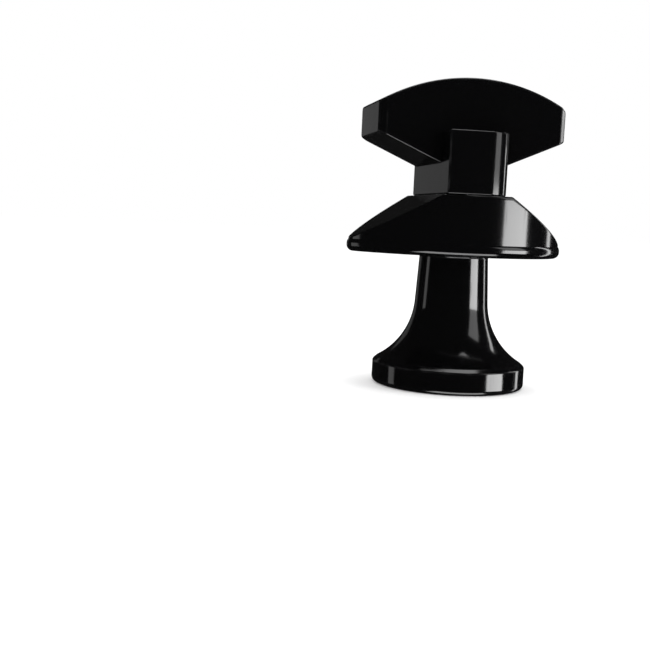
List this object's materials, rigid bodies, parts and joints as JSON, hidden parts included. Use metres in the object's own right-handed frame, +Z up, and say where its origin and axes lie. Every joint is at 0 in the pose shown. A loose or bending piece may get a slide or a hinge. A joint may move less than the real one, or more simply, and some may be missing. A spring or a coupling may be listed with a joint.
{
  "type": "quarter-turn peg",
  "caption": "Quarter-turn peg with an arched T-head on a deep cam neck, an oval lens flange with a sloping top, and a flared stem that ends in a round knob.",
  "frame": {"origin": "centre of the knob's flat end face, which the peg stands on", "axes": "+Z up the peg's axis from the knob to the T-head, +X along the T-head and the flange's long direction, -Y the face seen from the front"},
  "size_m": [0.0278, 0.0194, 0.038],
  "materials": {
    "knob": "piano-black moulded plastic, high gloss",
    "flange": "piano-black moulded plastic, high gloss",
    "neck_block": "piano-black moulded plastic, high gloss",
    "t_head": "piano-black moulded plastic, high gloss",
    "spindle": "turned and zinc plated",
    "spring_washer": "spring steel, oiled",
    "knob_insert": "turned, bright",
    "flange_bush": "plain bearing bronze, turned",
    "thrust_washer": "natural acetal, matt"
  },
  "bodies": {
    "flange": {"flange": "flange", "flange_bush": "flange_bush", "thrust_washer": "thrust_washer"},
    "turning_set": {"knob": "knob", "knob_insert": "knob_insert", "spindle": "spindle", "spring_washer": "spring_washer", "neck_block": "neck_block", "t_head": "t_head"}
  },
  "joints": [
    {"name": "quarter_turn", "type": "hinge", "parent": "flange", "child": "turning_set", "pos_m": [0, 0, 0.024], "axis": [0, 0, 1], "range_deg": [-90, 0]}
  ]
}
